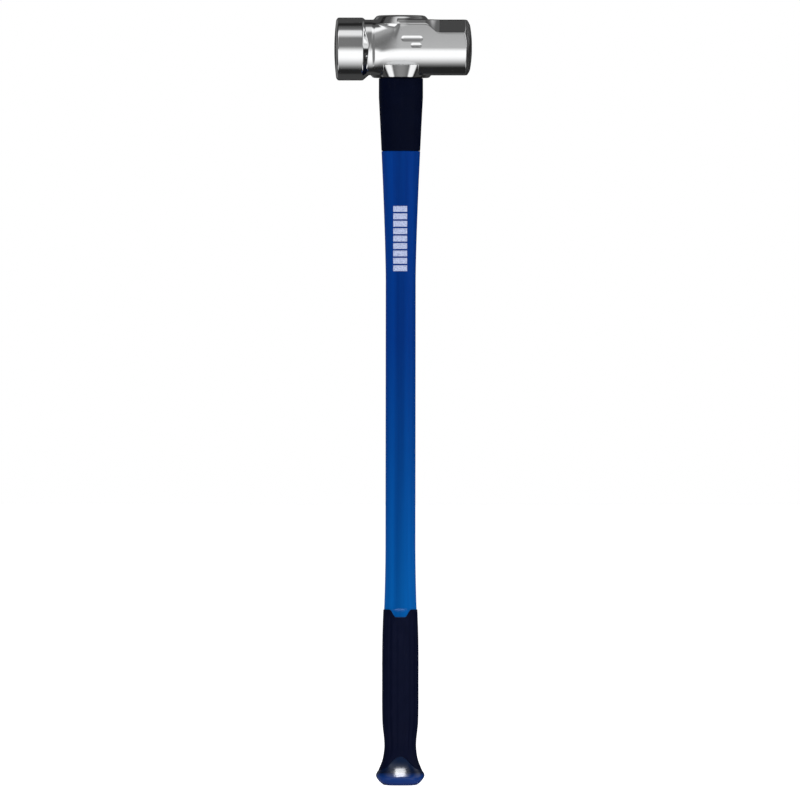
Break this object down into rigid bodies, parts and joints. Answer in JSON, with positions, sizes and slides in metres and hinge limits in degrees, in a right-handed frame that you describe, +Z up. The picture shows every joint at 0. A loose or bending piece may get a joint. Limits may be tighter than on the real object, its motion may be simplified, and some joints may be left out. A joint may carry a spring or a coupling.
{
  "type": "sledgehammer",
  "caption": "Long-handled sledgehammer: forged steel head with a round bell face and an octagonal poll, on a jacketed fibreglass handle with a rubber guard, rubber grip and flared butt.",
  "frame": {"origin": "middle of the flat on the handle's butt, on the handle's centre line", "axes": "+Z up the handle to the head, +X along the head towards the octagonal poll, +Y through the cheeks"},
  "size_m": [0.1634, 0.0748, 0.9144],
  "materials": {
    "head_steel": "polished forged steel",
    "core_fibreglass": "pultruded glass fibre, satin",
    "jacket_plastic": "glossy moulded polypropylene",
    "guard_rubber": "fine-grained moulded rubber",
    "grip_rubber": "ribbed moulded rubber",
    "cap_plastic": "glossy moulded polypropylene",
    "bond_epoxy": "cast epoxy, satin",
    "seal_foam": "closed-cell foam"
  },
  "bodies": {
    "root": {"hammer_head": "head_steel", "core_rod": "core_fibreglass", "jacket": "jacket_plastic", "overstrike_sleeve": "guard_rubber", "grip": "grip_rubber", "butt_cap": "cap_plastic", "eye_bond": "bond_epoxy", "eye_seal": "seal_foam"}
  },
  "joints": []
}
